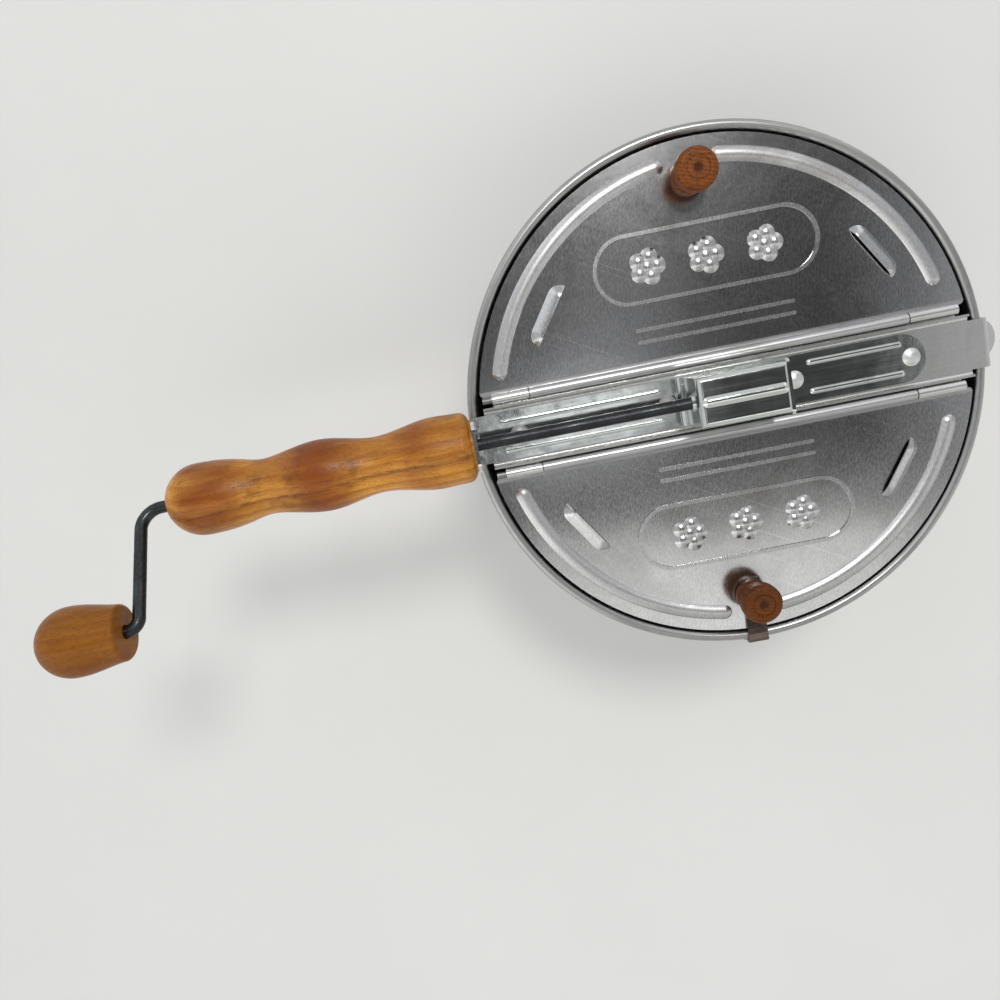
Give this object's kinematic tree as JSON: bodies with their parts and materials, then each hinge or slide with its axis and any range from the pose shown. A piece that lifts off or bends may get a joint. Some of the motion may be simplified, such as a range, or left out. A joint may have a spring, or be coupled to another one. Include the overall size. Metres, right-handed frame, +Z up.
{
  "type": "stovetop corn popper",
  "caption": "Round stovetop pot with two hinged half lids on a bar over its rim, and a hand crank through the handle that turns bevel gears and a wire stirrer.",
  "frame": {"origin": "centre of the pot's flat base, where it stands", "axes": "+Z up out of the pot, +X along the bar away from the handle, +Y toward the plain lid"},
  "size_m": [0.4452, 0.2446, 0.2055],
  "materials": {
    "spun_aluminium": "brushed",
    "lid_aluminium": "brushed",
    "zinc_sheet": "bright zinc plate",
    "bridge_sheet": "satin plate",
    "pin_steel": "satin",
    "rivet_steel": "bright",
    "screw_steel": "bright",
    "rod_steel": "dark oil finish",
    "gear_steel": "satin",
    "stirrer_steel": "bright wire",
    "bush_brass": "satin",
    "handle_wood": "clear varnish",
    "crank_wood": "clear varnish",
    "knob_wood": "clear varnish"
  },
  "bodies": {
    "pot_body": {"pot": "spun_aluminium"},
    "bar": {"hinge_plate": "bridge_sheet", "rear_hinge_pin": "pin_steel", "front_hinge_pin": "pin_steel", "bridge_channel": "bridge_sheet", "gear_bracket": "zinc_sheet", "bracket_rivets": "rivet_steel", "handle_grip": "handle_wood", "handle_screws": "screw_steel", "shaft_bush": "bush_brass"},
    "crank": {"crank_rod": "rod_steel", "pinion_gear": "gear_steel", "pinion_pin": "pin_steel"},
    "crank_grip": {"crank_knob": "crank_wood"},
    "agitator": {"agitator_shaft": "stirrer_steel", "driven_gear": "gear_steel", "driven_gear_pin": "pin_steel", "thrust_washer": "bush_brass", "shaft_collar": "gear_steel", "lower_stirrer": "stirrer_steel", "upper_stirrer": "stirrer_steel"},
    "rear_lid": {"rear_lid_panel": "lid_aluminium", "rear_lid_knob": "knob_wood", "rear_knob_screw": "screw_steel"},
    "front_lid": {"front_lid_panel": "lid_aluminium", "front_lid_knob": "knob_wood", "front_knob_screw": "screw_steel", "front_lid_clip": "zinc_sheet"}
  },
  "joints": [
    {"name": "bar_lift", "type": "slide", "parent": "pot_body", "child": "bar", "axis": [0, 0, 1], "range_m": [0, 0.15]},
    {"name": "rear_lid_hinge", "type": "hinge", "parent": "bar", "child": "rear_lid", "pos_m": [0, 0.0175, 0.142], "axis": [1, 0, 0], "range_deg": [0, 85]},
    {"name": "front_lid_hinge", "type": "hinge", "parent": "bar", "child": "front_lid", "pos_m": [0, -0.0175, 0.142], "axis": [-1, 0, 0], "range_deg": [0, 85]},
    {"name": "crank_turn", "type": "hinge", "parent": "bar", "child": "crank", "pos_m": [-0.2, 0, 0.1593], "axis": [1, 0, 0], "continuous": true},
    {"name": "crank_grip_spin", "type": "hinge", "parent": "crank", "child": "crank_grip", "pos_m": [-0.295, -0.04601, 0.19034], "axis": [1, 0, 0], "continuous": true},
    {"name": "agitator_turn", "type": "hinge", "parent": "bar", "child": "agitator", "pos_m": [0, 0, 0.1], "axis": [0, 0, 1], "continuous": true}
  ],
  "couplings": [
    {"joint": "agitator_turn", "follows": "crank_turn", "ratio": -1}
  ]
}
